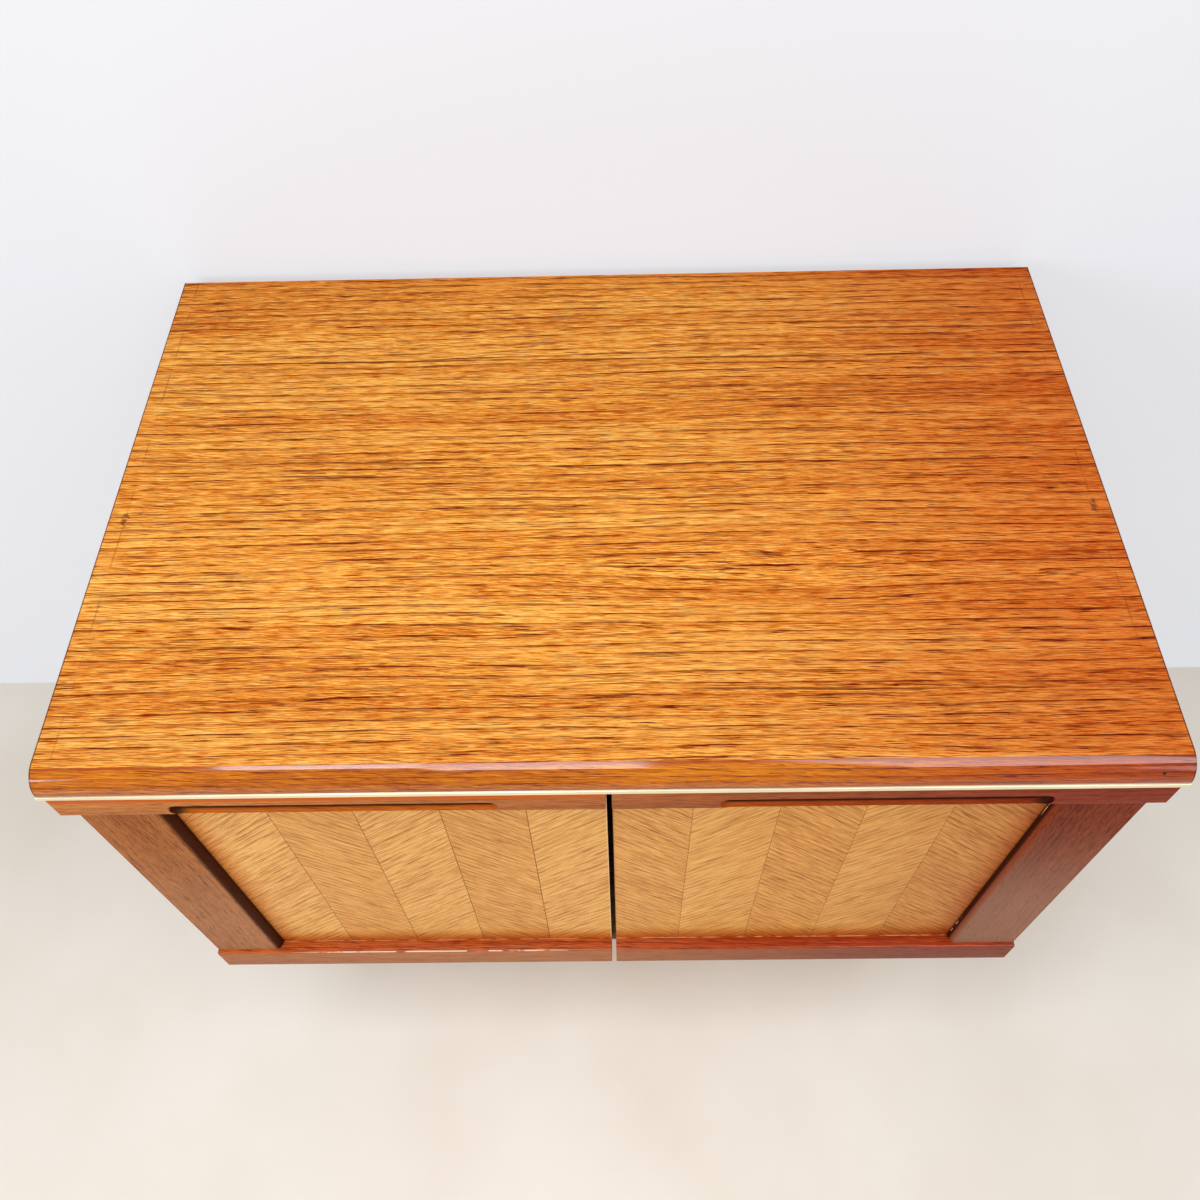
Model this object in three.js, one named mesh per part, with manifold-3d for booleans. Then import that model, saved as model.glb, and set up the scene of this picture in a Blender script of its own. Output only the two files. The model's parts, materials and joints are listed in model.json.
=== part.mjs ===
import * as THREE from 'three';
import { mergeVertices } from 'three/addons/utils/BufferGeometryUtils.js';
import Module from 'manifold-3d';

const wasm = await Module();
wasm.setup();

// Two-door record cabinet on four splayed legs
// Millimetres, X to the right, Y to the back, Z up
// The origin is on the floor under the middle of the cabinet

// Overall sizes
const TOP_WIDTH = 764.5;
const DEPTH = 499.25;
const FLOOR_CLEARANCE = 305;
const CARCASS_HEIGHT = 411.75;

// Top with its solid front lipping
const TOP_THICKNESS = 17.25;
const TOP_SIDE_OVERHANG = 3.25;
const NOSE_RADIUS = 17;
const NOSE_FLAT = 0.5;

// Brass strip under the nose, its edge in front of it
const TRIM_THICKNESS = 4;
const TRIM_DEPTH = 20;
const TRIM_PROJECTION = 1.25;
const TRIM_EDGE_RADIUS = 0.75;

// Carcass boards
const SIDE_THICKNESS = 18;
const BOTTOM_THICKNESS = 18;
const BACK_THICKNESS = 4;
const BACK_REBATE_WIDTH = 8;

// Record dividers
const DIVIDER_COUNT = 4;
const DIVIDER_THICKNESS = 6;
const DIVIDER_SETBACK = 40;
const DIVIDER_SHOULDER = 45;
const DIVIDER_SCOOP = 55;
const DIVIDER_GROOVE_DEPTH = 4;
const DIVIDER_HEADROOM = 0.5;

// Doors
const DOOR_SETBACK = 0.5;
const DOOR_BACK_GAP = 0.75;
const DOOR_TOP_GAP = 0.75;
const DOOR_BOTTOM_DROP = 2;
const MEETING_GAP = 4.25;
const TOP_RAIL_HEIGHT = 28.5;
const TOP_RAIL_THICKNESS = 27;
const BOTTOM_RAIL_HEIGHT = 37.25;
const BOTTOM_RAIL_THICKNESS = 20.5;
const STILE_WIDTH = 62;
const STILE_THICKNESS = 16.5;
const STILE_INNER_RADIUS = 6.5;
const ARRIS_RADIUS = 1.5;
const PANEL_THICKNESS = 8.5;
const PANEL_REBATE_WIDTH = 8;
const TENON_LENGTH = 12;
const TENON_THICKNESS = 6;
const TENON_SHOULDER = 10;

// Finger cove along the lower front edge of each top rail
const COVE_RADIUS = 7.1;
const COVE_EDGE_SETBACK = 0.6;
const COVE_OUTER_INSET = 77;
const COVE_MEETING_INSET = 73.7;

// Butt hinges
const HINGE_HEIGHT = 50;
const HINGE_END_INSET = 70;
const HINGE_AXIS_OUTSET = 1;
const KNUCKLE_RADIUS = 2.5;
const PIN_RADIUS = 1.25;
const PIN_CLEARANCE = 0.15;
const PIN_END = 0.75;
const LEAF_THICKNESS = 1.2;
const LEAF_GAP = 0.4;
const LEAF_EDGE_MARGIN = 3;
const HINGE_CLEARANCE = 0.4;

// Magnetic catches and their strike plates
const STRIKE_LENGTH = 38;
const STRIKE_HEIGHT = 11;
const STRIKE_THICKNESS = 1;
const STRIKE_TOP_INSET = 2;
const STRIKE_END_INSET = 12;
const CATCH_LENGTH = 46;
const CATCH_HEIGHT = 16;
const CATCH_DEPTH = 14;
const CATCH_GAP = 0.3;
const MAGNET_LENGTH = 30;
const MAGNET_HEIGHT = 6;
const MAGNET_DEPTH = 10;

// Legs, ferrules and mounting plates
const LEG_SIDE_INSET = 90;
const LEG_FRONT_INSET = 115;
const LEG_BACK_INSET = 100;
const LEG_SPLAY = THREE.MathUtils.degToRad(6);
const LEG_TOP_RADIUS = 19;
const LEG_TOP_CHAMFER = 2;
const LEG_ANKLE_RADIUS = 11.5;
const LEG_SWELL = 1;
const FERRULE_HEIGHT = 34;
const FERRULE_FOOT_RADIUS = 10;
const FERRULE_WALL = 1.2;
const FERRULE_FLOOR = 4;
const PLATE_SIZE = 62;
const PLATE_CORNER_RADIUS = 9;
const PLATE_THICKNESS = 3;
const DISH_RADIUS = 17.5;
const DISH_WALL = 2.5;
const DISH_LENGTH = 15;
const BOLT_RADIUS = 4;
const BOLT_IN_DISH = 7;
const BOLT_IN_LEG = 30;

// Shared clearances and counts
const FIT_CLEARANCE = 0.25;
const SEAT_GAP = 0.3;
const CUT_OVERRUN = 10;
const ARC_STEPS = 6;
const SMALL_ROUND_STEPS = 20;
const COVE_ROUND_STEPS = 32;
const LEG_ROUND_STEPS = 32;
const LEG_TAPER_STEPS = 6;

// Planes and levels that the pieces share
const trimFrontY = -DEPTH / 2;
const frontY = trimFrontY + TRIM_PROJECTION;
const backY = DEPTH / 2;
const doorBackY = frontY + DOOR_SETBACK + TOP_RAIL_THICKNESS;
const carcassFrontY = doorBackY + DOOR_BACK_GAP;
const backPanelY = backY - BACK_THICKNESS;
const sideOuterX = TOP_WIDTH / 2 - TOP_SIDE_OVERHANG;
const sideInnerX = sideOuterX - SIDE_THICKNESS;
const carcassBottomZ = FLOOR_CLEARANCE;
const carcassTopZ = carcassBottomZ + CARCASS_HEIGHT;
const topZ = carcassTopZ + TOP_THICKNESS;
const insideBottomZ = carcassBottomZ + BOTTOM_THICKNESS;
const doorTopZ = carcassTopZ - TRIM_THICKNESS - DOOR_TOP_GAP;
const doorBottomZ = carcassBottomZ - DOOR_BOTTOM_DROP;
const doorHeight = doorTopZ - doorBottomZ;
const hingeX = sideOuterX + HINGE_AXIS_OUTSET;
const hingeY = doorBackY + DOOR_BACK_GAP / 2;
const hingeLevels = { lower: doorBottomZ + HINGE_END_INSET, upper: doorTopZ - HINGE_END_INSET };
const sides = { left: -1, right: 1 };

// Materials of the pieces
const looks = {
  topVeneer: { color: 0xb9682a, roughness: 0.3, metalness: 0 },
  lipping: { color: 0xb8611c, roughness: 0.3, metalness: 0 },
  frameWood: { color: 0x8f5536, roughness: 0.45, metalness: 0 },
  chevronVeneer: { color: 0xc98e52, roughness: 0.45, metalness: 0 },
  sideVeneer: { color: 0x9a5a32, roughness: 0.45, metalness: 0 },
  insideBoard: { color: 0xa9794c, roughness: 0.7, metalness: 0 },
  legWood: { color: 0x7e4526, roughness: 0.4, metalness: 0 },
  brass: { color: 0xc9a04a, roughness: 0.25, metalness: 1 },
  steel: { color: 0x9a9c9e, roughness: 0.35, metalness: 1 },
  catchPlastic: { color: 0x3a2a20, roughness: 0.6, metalness: 0 },
};

// Closed geometry as a solid that can be joined and cut
function solidOf(geometry) {
  const bare = geometry.clone();
  bare.deleteAttribute('normal');
  bare.deleteAttribute('uv');
  const merged = mergeVertices(bare);
  const corners = merged.index.array;
  const triangles = [];
  for (let first = 0; first < corners.length; first += 3) {
    const [a, b, c] = corners.slice(first, first + 3);
    if (a !== b && b !== c && c !== a) triangles.push(a, b, c);
  }
  return new wasm.Manifold(new wasm.Mesh({
    numProp: 3,
    vertProperties: new Float32Array(merged.attributes.position.array),
    triVerts: new Uint32Array(triangles),
  }));
}

// Block between two opposite corners, given in any order
function block(cornerA, cornerB) {
  const box = new THREE.Box3().setFromPoints([new THREE.Vector3(...cornerA), new THREE.Vector3(...cornerB)]);
  const size = box.getSize(new THREE.Vector3());
  const centre = box.getCenter(new THREE.Vector3());
  return solidOf(new THREE.BoxGeometry(size.x, size.y, size.z).translate(centre.x, centre.y, centre.z));
}

// Upright cylinder around the local Z axis
function upright(radius, fromZ, toZ, steps) {
  const geometry = new THREE.CylinderGeometry(radius, radius, toZ - fromZ, steps);
  return solidOf(geometry.rotateX(Math.PI / 2).translate(0, 0, (fromZ + toZ) / 2));
}

// Body turned around the local Z axis from [radius, z] points that run upwards
function turned(points) {
  const profile = points.map(([radius, z]) => new THREE.Vector2(radius, z));
  return solidOf(new THREE.LatheGeometry(profile, LEG_ROUND_STEPS).rotateX(Math.PI / 2));
}

// Outline through [x, y, radius] corners, each rounded by its radius where it has one
function outline(corners) {
  const roundness = (4 / 3) * (Math.SQRT2 - 1);
  const shape = new THREE.Shape();
  corners.forEach(([x, y, radius = 0], index) => {
    const corner = new THREE.Vector2(x, y);
    const towards = (other, length) => new THREE.Vector2(other[0], other[1])
      .sub(corner).setLength(length).add(corner);
    const before = corners.at(index - 1);
    const after = corners[(index + 1) % corners.length];
    const start = radius > 0 ? towards(before, radius) : corner;
    if (index === 0) shape.moveTo(start.x, start.y);
    else shape.lineTo(start.x, start.y);
    if (radius > 0) {
      const end = towards(after, radius);
      const firstControl = towards(before, radius * (1 - roundness));
      const secondControl = towards(after, radius * (1 - roundness));
      shape.bezierCurveTo(firstControl.x, firstControl.y, secondControl.x, secondControl.y, end.x, end.y);
    }
  });
  shape.closePath();
  return shape;
}

// Extrusion of an [x, y] outline between two levels
function extrudeUp(shape, fromZ, toZ) {
  const settings = { depth: toZ - fromZ, bevelEnabled: false, curveSegments: ARC_STEPS };
  return solidOf(new THREE.ExtrudeGeometry(shape, settings).translate(0, 0, fromZ));
}

// Extrusion of a [y, z] outline between two X positions, given in any order
function extrudeAcross(shape, endA, endB) {
  const settings = { depth: Math.abs(endB - endA), bevelEnabled: false, curveSegments: ARC_STEPS };
  const across = new THREE.Matrix4().makeBasis(
    new THREE.Vector3(0, 1, 0),
    new THREE.Vector3(0, 0, 1),
    new THREE.Vector3(1, 0, 0),
  );
  const geometry = new THREE.ExtrudeGeometry(shape, settings).applyMatrix4(across);
  return solidOf(geometry.translate(Math.min(endA, endB), 0, 0));
}

// Named mesh of a solid, its geometry centred on the mesh's own position
function part(name, look, solid) {
  const { min, max } = solid.boundingBox();
  const centre = new THREE.Vector3(...min).add(new THREE.Vector3(...max)).divideScalar(2);
  const { vertProperties, triVerts } = solid.translate(-centre.x, -centre.y, -centre.z).getMesh();
  const geometry = new THREE.BufferGeometry();
  geometry.setAttribute('position', new THREE.BufferAttribute(vertProperties, 3));
  geometry.setIndex(new THREE.BufferAttribute(triVerts, 1));
  geometry.computeVertexNormals();
  const mesh = new THREE.Mesh(geometry, new THREE.MeshStandardMaterial({ ...look, flatShading: true }));
  mesh.name = name;
  mesh.position.copy(centre);
  return mesh;
}

// X positions of the record dividers, evenly spaced between the sides
function dividerPositions() {
  const free = 2 * sideInnerX - DIVIDER_COUNT * DIVIDER_THICKNESS;
  const pitch = free / (DIVIDER_COUNT + 1) + DIVIDER_THICKNESS;
  const first = -pitch * (DIVIDER_COUNT - 1) / 2;
  return Array.from({ length: DIVIDER_COUNT }, (_, index) => first + index * pitch);
}

const dividerFrontY = carcassFrontY + DIVIDER_SETBACK;

// Stopped grooves that hold the dividers, between two levels
function dividerGrooves(fromZ, toZ) {
  const halfWidth = DIVIDER_THICKNESS / 2 + FIT_CLEARANCE;
  return wasm.Manifold.union(dividerPositions().map((x) => block(
    [x - halfWidth, dividerFrontY - FIT_CLEARANCE, fromZ],
    [x + halfWidth, backY + CUT_OVERRUN, toZ],
  )));
}

const lippingBackY = frontY + NOSE_RADIUS + NOSE_FLAT;

function topPanel() {
  const board = block(
    [-TOP_WIDTH / 2, lippingBackY, carcassTopZ],
    [TOP_WIDTH / 2, backY, topZ],
  );
  const grooves = dividerGrooves(carcassTopZ - CUT_OVERRUN, carcassTopZ + DIVIDER_GROOVE_DEPTH);
  const backStop = block(
    [-TOP_WIDTH / 2, backPanelY, carcassTopZ - CUT_OVERRUN],
    [TOP_WIDTH / 2, backY + CUT_OVERRUN, topZ],
  );
  return board.subtract(grooves.subtract(backStop));
}

// Nose: a quarter round above a short upright edge
function topLipping() {
  const shape = new THREE.Shape();
  shape.moveTo(lippingBackY, carcassTopZ);
  shape.lineTo(lippingBackY, topZ);
  shape.absarc(frontY + NOSE_RADIUS, topZ - NOSE_RADIUS, NOSE_RADIUS, Math.PI / 2, Math.PI);
  shape.lineTo(frontY, carcassTopZ);
  shape.closePath();
  return extrudeAcross(shape, -TOP_WIDTH / 2, TOP_WIDTH / 2);
}

function brassTrim() {
  const trimBottomZ = carcassTopZ - TRIM_THICKNESS;
  const shape = outline([
    [trimFrontY, trimBottomZ, TRIM_EDGE_RADIUS],
    [trimFrontY, carcassTopZ, TRIM_EDGE_RADIUS],
    [trimFrontY + TRIM_DEPTH, carcassTopZ],
    [trimFrontY + TRIM_DEPTH, trimBottomZ],
  ]);
  return extrudeAcross(shape, -TOP_WIDTH / 2, TOP_WIDTH / 2);
}

// How far a hinge leaf reaches inwards from the hinge axis, and how deep it lies
const leafReach = HINGE_AXIS_OUTSET + SIDE_THICKNESS - LEAF_EDGE_MARGIN;
const leafBack = LEAF_GAP / 2 + LEAF_THICKNESS;

// Recesses for the leaves and knuckles, around the hinge axis at the origin
// facing is 1 for the carcass behind the axis and -1 for the door in front of it
function hingeRecesses(inward, facing, levels) {
  return wasm.Manifold.union(levels.flatMap((level) => {
    const low = level - HINGE_HEIGHT / 2 - FIT_CLEARANCE;
    const high = level + HINGE_HEIGHT / 2 + FIT_CLEARANCE;
    const leafSeat = block([0, 0, low], [inward * (leafReach + FIT_CLEARANCE), facing * leafBack, high]);
    const pinRoom = PIN_END + FIT_CLEARANCE;
    const notch = upright(KNUCKLE_RADIUS + HINGE_CLEARANCE, low - pinRoom, high + pinRoom, SMALL_ROUND_STEPS);
    return [leafSeat, notch];
  }));
}

function sidePanel(side) {
  const board = block(
    [side * sideOuterX, carcassFrontY, carcassBottomZ],
    [side * sideInnerX, backY, carcassTopZ],
  );
  const backRebate = block(
    [side * (sideInnerX - CUT_OVERRUN), backPanelY, carcassBottomZ - CUT_OVERRUN],
    [side * (sideInnerX + BACK_REBATE_WIDTH), backY + CUT_OVERRUN, carcassTopZ + CUT_OVERRUN],
  );
  const recesses = hingeRecesses(-side, 1, Object.values(hingeLevels)).translate(side * hingeX, hingeY, 0);
  return board.subtract(backRebate).subtract(recesses);
}

function bottomPanel() {
  const board = block(
    [-sideInnerX, carcassFrontY, carcassBottomZ],
    [sideInnerX, backPanelY, insideBottomZ],
  );
  return board.subtract(dividerGrooves(insideBottomZ - DIVIDER_GROOVE_DEPTH, insideBottomZ + CUT_OVERRUN));
}

function backPanel() {
  const halfWidth = sideInnerX + BACK_REBATE_WIDTH - FIT_CLEARANCE;
  return block([-halfWidth, backPanelY, carcassBottomZ], [halfWidth, backY, carcassTopZ]);
}

// Divider whose front edge is scooped back between two straight shoulders
function divider(x) {
  const lowZ = insideBottomZ - DIVIDER_GROOVE_DEPTH;
  const highZ = carcassTopZ + DIVIDER_GROOVE_DEPTH - DIVIDER_HEADROOM;
  const scoopLowZ = insideBottomZ + DIVIDER_SHOULDER;
  const scoopHighZ = carcassTopZ - DIVIDER_SHOULDER;
  const halfChord = (scoopHighZ - scoopLowZ) / 2;
  const scoopRadius = (halfChord ** 2 + DIVIDER_SCOOP ** 2) / (2 * DIVIDER_SCOOP);
  const scoopAngle = Math.asin(halfChord / scoopRadius);
  const scoopCentreY = dividerFrontY + DIVIDER_SCOOP - scoopRadius;
  const shape = new THREE.Shape();
  shape.moveTo(dividerFrontY, lowZ);
  shape.lineTo(backPanelY, lowZ);
  shape.lineTo(backPanelY, highZ);
  shape.lineTo(dividerFrontY, highZ);
  shape.absarc(scoopCentreY, scoopLowZ + halfChord, scoopRadius, scoopAngle, -scoopAngle, true);
  shape.closePath();
  return extrudeAcross(shape, x - DIVIDER_THICKNESS / 2, x + DIVIDER_THICKNESS / 2);
}

function carcass() {
  const group = new THREE.Group();
  group.add(part('top_panel', looks.topVeneer, topPanel()));
  group.add(part('top_front_lipping', looks.lipping, topLipping()));
  group.add(part('brass_trim_strip', looks.brass, brassTrim()));
  group.add(part('bottom_panel', looks.sideVeneer, bottomPanel()));
  group.add(part('back_panel', looks.insideBoard, backPanel()));
  for (const [sideName, side] of Object.entries(sides)) {
    group.add(part(`side_panel_${sideName}`, looks.sideVeneer, sidePanel(side)));
  }
  dividerPositions().forEach((x, index) => {
    group.add(part(`record_divider_${index + 1}`, looks.insideBoard, divider(x)));
  });
  return group;
}

// Door planes and edges, measured from the hinge axis and the door's bottom
const door = {
  outer: HINGE_AXIS_OUTSET,
  stileInner: HINGE_AXIS_OUTSET + STILE_WIDTH,
  panelOuter: HINGE_AXIS_OUTSET + STILE_WIDTH - PANEL_REBATE_WIDTH,
  meeting: hingeX - MEETING_GAP / 2,
  back: -DOOR_BACK_GAP / 2,
  panelFront: -DOOR_BACK_GAP / 2 - PANEL_THICKNESS,
  stileFront: -DOOR_BACK_GAP / 2 - STILE_THICKNESS,
  bottomRailFront: -DOOR_BACK_GAP / 2 - BOTTOM_RAIL_THICKNESS,
  topRailFront: -DOOR_BACK_GAP / 2 - TOP_RAIL_THICKNESS,
  stileLow: BOTTOM_RAIL_HEIGHT,
  stileHigh: doorHeight - TOP_RAIL_HEIGHT,
};

// Seat of the panel, let in from the back of the rails and the stile
function panelSeat(inward) {
  const reach = PANEL_REBATE_WIDTH + FIT_CLEARANCE;
  return block(
    [inward * (door.panelOuter - FIT_CLEARANCE), door.panelFront, door.stileLow - reach],
    [inward * (door.meeting + CUT_OVERRUN), door.back + CUT_OVERRUN, door.stileHigh + reach],
  );
}

// Stub tenons of the stile, larger all round by a clearance where they cut a mortise
function stileTenons(inward, clearance) {
  const tenonFront = door.back - (STILE_THICKNESS - TENON_THICKNESS) / 2;
  const tenonReach = TENON_LENGTH + clearance;
  return block(
    [
      inward * (door.outer + TENON_SHOULDER - clearance),
      tenonFront + clearance,
      door.stileLow - tenonReach,
    ],
    [
      inward * (door.panelOuter - TENON_SHOULDER + clearance),
      tenonFront - TENON_THICKNESS - clearance,
      door.stileHigh + tenonReach,
    ],
  );
}

function stile(inward) {
  const shape = outline([
    [inward * door.outer, door.back],
    [inward * door.outer, door.stileFront, ARRIS_RADIUS],
    [inward * door.stileInner, door.stileFront, STILE_INNER_RADIUS],
    [inward * door.stileInner, door.back],
  ]);
  const levels = Object.values(hingeLevels).map((level) => level - doorBottomZ);
  return extrudeUp(shape, door.stileLow, door.stileHigh)
    .subtract(panelSeat(inward))
    .subtract(hingeRecesses(inward, -1, levels))
    .add(stileTenons(inward, 0));
}

// Rail of a given section, with rounded front arrises, cut for the panel and the tenons
function rail(inward, front, lowZ, highZ) {
  const shape = outline([
    [front, lowZ, ARRIS_RADIUS],
    [front, highZ, ARRIS_RADIUS],
    [door.back, highZ],
    [door.back, lowZ],
  ]);
  return extrudeAcross(shape, inward * door.outer, inward * door.meeting)
    .subtract(panelSeat(inward))
    .subtract(stileTenons(inward, FIT_CLEARANCE));
}

// Stopped cove with ball ends, set so that it cuts back the rail's lower front edge
function fingerCove(inward) {
  const outerEnd = door.outer + COVE_OUTER_INSET;
  const meetingEnd = door.meeting - COVE_MEETING_INSET;
  const rise = Math.sqrt(COVE_RADIUS ** 2 - COVE_EDGE_SETBACK ** 2);
  const straight = meetingEnd - outerEnd - 2 * COVE_RADIUS;
  const geometry = new THREE.CapsuleGeometry(COVE_RADIUS, straight, ARC_STEPS, COVE_ROUND_STEPS);
  geometry.rotateZ(Math.PI / 2);
  geometry.translate(inward * (outerEnd + meetingEnd) / 2, door.topRailFront, door.stileHigh + rise);
  return solidOf(geometry);
}

function chevronPanel(inward) {
  return block(
    [inward * door.panelOuter, door.panelFront, door.stileLow - PANEL_REBATE_WIDTH],
    [inward * door.meeting, door.back, door.stileHigh + PANEL_REBATE_WIDTH],
  );
}

function strikePlate(inward) {
  const strikeInner = door.meeting - STRIKE_END_INSET;
  const strikeTopZ = doorHeight - STRIKE_TOP_INSET;
  return block(
    [inward * (strikeInner - STRIKE_LENGTH), door.back, strikeTopZ - STRIKE_HEIGHT],
    [inward * strikeInner, door.back + STRIKE_THICKNESS, strikeTopZ],
  );
}

function doorLeaf(sideName, side) {
  const inward = -side;
  const group = new THREE.Group();
  group.position.set(side * hingeX, hingeY, doorBottomZ);
  const topRail = rail(inward, door.topRailFront, door.stileHigh, doorHeight).subtract(fingerCove(inward));
  const bottomRail = rail(inward, door.bottomRailFront, 0, door.stileLow);
  group.add(part(`door_${sideName}_top_rail`, looks.frameWood, topRail));
  group.add(part(`door_${sideName}_bottom_rail`, looks.frameWood, bottomRail));
  group.add(part(`door_${sideName}_stile`, looks.frameWood, stile(inward)));
  group.add(part(`door_${sideName}_panel`, looks.chevronVeneer, chevronPanel(inward)));
  group.add(part(`door_${sideName}_strike_plate`, looks.steel, strikePlate(inward)));
  return group;
}

// Hinge leaf with the knuckles that it carries, given as [from, to] levels
function hingeLeaf(inward, facing, knuckles) {
  const halfHeight = HINGE_HEIGHT / 2;
  const boreRadius = PIN_RADIUS + PIN_CLEARANCE;
  const plateStart = KNUCKLE_RADIUS + HINGE_CLEARANCE;
  const plate = block(
    [inward * plateStart, facing * LEAF_GAP / 2, -halfHeight],
    [inward * leafReach, facing * leafBack, halfHeight],
  );
  const wraps = knuckles.flatMap(([fromZ, toZ]) => [
    block(
      [inward * boreRadius, facing * LEAF_GAP / 2, fromZ],
      [inward * (plateStart + LEAF_THICKNESS), facing * leafBack, toZ],
    ),
    upright(KNUCKLE_RADIUS, fromZ, toZ, SMALL_ROUND_STEPS),
  ]);
  const bore = upright(boreRadius, -HINGE_HEIGHT, HINGE_HEIGHT, SMALL_ROUND_STEPS);
  return wasm.Manifold.union([plate, ...wraps]).subtract(bore);
}

function buttHinge(name, side, level) {
  const inward = -side;
  const end = HINGE_HEIGHT / 2;
  const knuckleEnd = HINGE_HEIGHT / 6;
  const middleEnd = knuckleEnd - HINGE_CLEARANCE;
  const group = new THREE.Group();
  group.position.set(side * hingeX, hingeY, level);
  const outerKnuckles = [[-end, -knuckleEnd], [knuckleEnd, end]];
  const middleKnuckle = [[-middleEnd, middleEnd]];
  const pin = upright(PIN_RADIUS, -end - PIN_END, end + PIN_END, SMALL_ROUND_STEPS);
  group.add(part(`${name}_fixed_leaf`, looks.brass, hingeLeaf(inward, 1, outerKnuckles)));
  group.add(part(`${name}_moving_leaf`, looks.brass, hingeLeaf(inward, -1, middleKnuckle)));
  group.add(part(`${name}_pin`, looks.steel, pin));
  return group;
}

// Catch under the top, its magnet level with the strike plate on the closed door
function magneticCatch(sideName, side) {
  const group = new THREE.Group();
  const strikeCentre = door.meeting - STRIKE_END_INSET - STRIKE_LENGTH / 2;
  const strikeZ = doorTopZ - STRIKE_TOP_INSET - STRIKE_HEIGHT / 2;
  group.position.set(side * (hingeX - strikeCentre), doorBackY + STRIKE_THICKNESS + CATCH_GAP, carcassTopZ);
  const magnetZ = strikeZ - carcassTopZ;
  const housing = block([-CATCH_LENGTH / 2, 0, -CATCH_HEIGHT], [CATCH_LENGTH / 2, CATCH_DEPTH, 0]);
  const magnetBox = (clearance, mouth) => block(
    [-MAGNET_LENGTH / 2 - clearance, -mouth, magnetZ - MAGNET_HEIGHT / 2 - clearance],
    [MAGNET_LENGTH / 2 + clearance, MAGNET_DEPTH + clearance, magnetZ + MAGNET_HEIGHT / 2 + clearance],
  );
  const pocketed = housing.subtract(magnetBox(FIT_CLEARANCE, CUT_OVERRUN));
  group.add(part(`catch_${sideName}_housing`, looks.catchPlastic, pocketed));
  group.add(part(`catch_${sideName}_magnet`, looks.steel, magnetBox(0, 0)));
  return group;
}

// Legs are made in a tilted frame, its origin under the bottom panel and its Z axis up the leg
const splayReach = Math.tan(LEG_SPLAY);
const floorZ = -FLOOR_CLEARANCE * Math.hypot(1, splayReach, splayReach);
const legTopZ = -DISH_LENGTH - SEAT_GAP;
const ferruleTopZ = floorZ + FERRULE_HEIGHT;
const ferruleInsideZ = floorZ + FERRULE_FLOOR;

// Leg with its bolt hole above and the spigot for the ferrule below
function turnedLeg() {
  const shoulderZ = ferruleTopZ + SEAT_GAP;
  const bodyTopZ = legTopZ - LEG_TOP_CHAMFER;
  const holeRadius = BOLT_RADIUS + SEAT_GAP;
  const holeZ = legTopZ - BOLT_IN_LEG - SEAT_GAP;
  const taper = Array.from({ length: LEG_TAPER_STEPS + 1 }, (_, step) => {
    const share = step / LEG_TAPER_STEPS;
    const swell = LEG_SWELL * Math.sin(Math.PI * share);
    const radius = THREE.MathUtils.lerp(LEG_ANKLE_RADIUS, LEG_TOP_RADIUS, share) + swell;
    return [radius, THREE.MathUtils.lerp(shoulderZ, bodyTopZ, share)];
  });
  const spigotGap = FERRULE_WALL + SEAT_GAP;
  return turned([
    [0, ferruleInsideZ + SEAT_GAP],
    [FERRULE_FOOT_RADIUS - spigotGap, ferruleInsideZ + SEAT_GAP],
    [LEG_ANKLE_RADIUS - spigotGap, shoulderZ],
    ...taper,
    [LEG_TOP_RADIUS - LEG_TOP_CHAMFER, legTopZ],
    [holeRadius, legTopZ],
    [holeRadius, holeZ],
    [0, holeZ],
  ]);
}

// Tapered cup over the spigot, cut level with the floor
function ferrule(tilt) {
  const footZ = floorZ - FERRULE_FLOOR;
  const cup = turned([
    [0, footZ],
    [FERRULE_FOOT_RADIUS, footZ],
    [LEG_ANKLE_RADIUS, ferruleTopZ],
    [LEG_ANKLE_RADIUS - FERRULE_WALL, ferruleTopZ],
    [FERRULE_FOOT_RADIUS - FERRULE_WALL, ferruleInsideZ],
    [0, ferruleInsideZ],
  ]);
  const room = FLOOR_CLEARANCE;
  const ground = new THREE.BoxGeometry(room, room, room).translate(0, 0, -FLOOR_CLEARANCE - room / 2);
  ground.applyQuaternion(tilt.clone().invert());
  return cup.subtract(solidOf(ground));
}

// Level plate with a pressed dish whose floor is square to the leg
function legPlate(tilt) {
  const half = PLATE_SIZE / 2;
  const corners = [[-half, -half], [half, -half], [half, half], [-half, half]];
  const shape = outline(corners.map(([x, y]) => [x, y, PLATE_CORNER_RADIUS]));
  const plate = extrudeUp(shape, -PLATE_THICKNESS, 0);
  const tiltMatrix = new THREE.Matrix4().makeRotationFromQuaternion(tilt).elements;
  const tilted = (radius, fromZ, toZ) => upright(radius, fromZ, toZ, LEG_ROUND_STEPS).transform(tiltMatrix);
  const below = block([-PLATE_SIZE, -PLATE_SIZE, -PLATE_SIZE], [PLATE_SIZE, PLATE_SIZE, -PLATE_THICKNESS / 2]);
  const dish = tilted(DISH_RADIUS, -DISH_LENGTH, DISH_LENGTH).intersect(below);
  const hollow = tilted(DISH_RADIUS - DISH_WALL, DISH_WALL - DISH_LENGTH, DISH_LENGTH);
  const boltHole = tilted(BOLT_RADIUS + SEAT_GAP, -PLATE_SIZE, 0);
  return plate.add(dish).subtract(hollow).subtract(boltHole);
}

function hangerBolt() {
  return upright(BOLT_RADIUS, legTopZ - BOLT_IN_LEG, -DISH_LENGTH + BOLT_IN_DISH, SMALL_ROUND_STEPS);
}

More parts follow.
